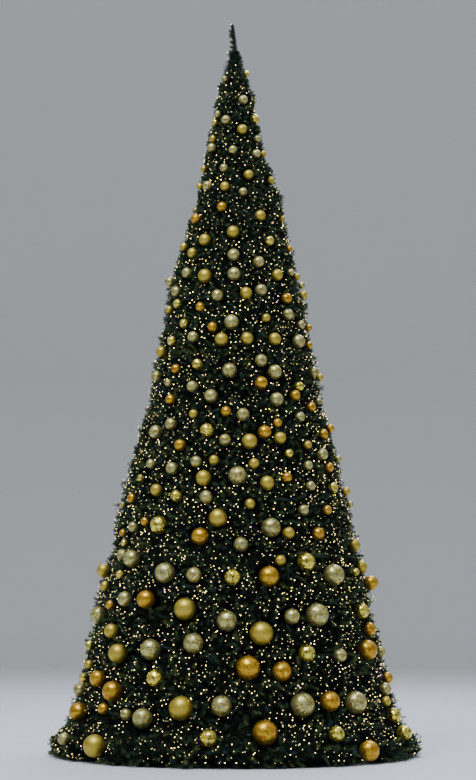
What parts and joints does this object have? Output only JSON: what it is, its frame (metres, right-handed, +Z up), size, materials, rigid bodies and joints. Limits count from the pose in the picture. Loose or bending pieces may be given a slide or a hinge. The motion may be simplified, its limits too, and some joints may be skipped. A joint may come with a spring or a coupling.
{
  "type": "artificial giant christmas tree",
  "caption": "Slim cone-shaped artificial Christmas tree for a public square, its dense needle foliage carried on a steel mast in a plain stand.",
  "frame": {"origin": "on the ground at the mast's axis, the middle of the stand's flat underside", "axes": "+Z up the mast; the side that the picture shows faces -Y"},
  "size_m": [4.7953, 4.788, 10.0012],
  "materials": {
    "needles": "matt dark green needle foliage",
    "painted_bough": "dark green painted tube",
    "painted_mast": "dark green painted tube, satin",
    "painted_stand": "black-green painted steel",
    "satin_gold": "satin gold bauble",
    "champagne": "pearl champagne bauble with fine swirls",
    "amber": "glossy amber bauble with swirls",
    "mirror_gold": "mirror gold bauble",
    "bauble_caps": "thin stamped gold cap and ring",
    "light_bulbs": "warm white lamp, lit",
    "light_wire": "dark green flexible wire and sockets"
  },
  "bodies": {
    "root": {"stand": "painted_stand", "mast": "painted_mast", "bough_1_1": "painted_bough", "bough_1_2": "painted_bough", "bough_1_3": "painted_bough", "bough_1_4": "painted_bough", "bough_1_5": "painted_bough", "bough_1_6": "painted_bough", "bough_2_1": "painted_bough", "bough_2_2": "painted_bough", "bough_2_3": "painted_bough", "bough_2_4": "painted_bough", "bough_2_5": "painted_bough", "bough_2_6": "painted_bough", "bough_3_1": "painted_bough", "bough_3_2": "painted_bough", "bough_3_3": "painted_bough", "bough_3_4": "painted_bough", "bough_3_5": "painted_bough", "foliage_1_1": "needles", "foliage_1_2": "needles", "foliage_1_3": "needles", "foliage_1_4": "needles", "foliage_1_5": "needles", "foliage_1_6": "needles", "foliage_2_1": "needles", "foliage_2_2": "needles", "foliage_2_3": "needles", "foliage_2_4": "needles", "foliage_2_5": "needles", "foliage_2_6": "needles", "foliage_3_1": "needles", "foliage_3_2": "needles", "foliage_3_3": "needles", "foliage_3_4": "needles", "foliage_3_5": "needles", "foliage_4_1": "needles", "foliage_4_2": "needles", "foliage_4_3": "needles", "foliage_4_4": "needles", "foliage_4_5": "needles", "foliage_5_1": "needles", "foliage_5_2": "needles", "foliage_5_3": "needles", "foliage_5_4": "needles", "foliage_6_1": "needles", "foliage_6_2": "needles", "foliage_6_3": "needles", "foliage_6_4": "needles", "foliage_7_1": "needles", "foliage_7_2": "needles", "foliage_7_3": "needles", "foliage_8_1": "needles", "foliage_8_2": "needles", "foliage_8_3": "needles", "foliage_9_1": "needles", "foliage_9_2": "needles", "leader": "needles"}
  },
  "joints": []
}
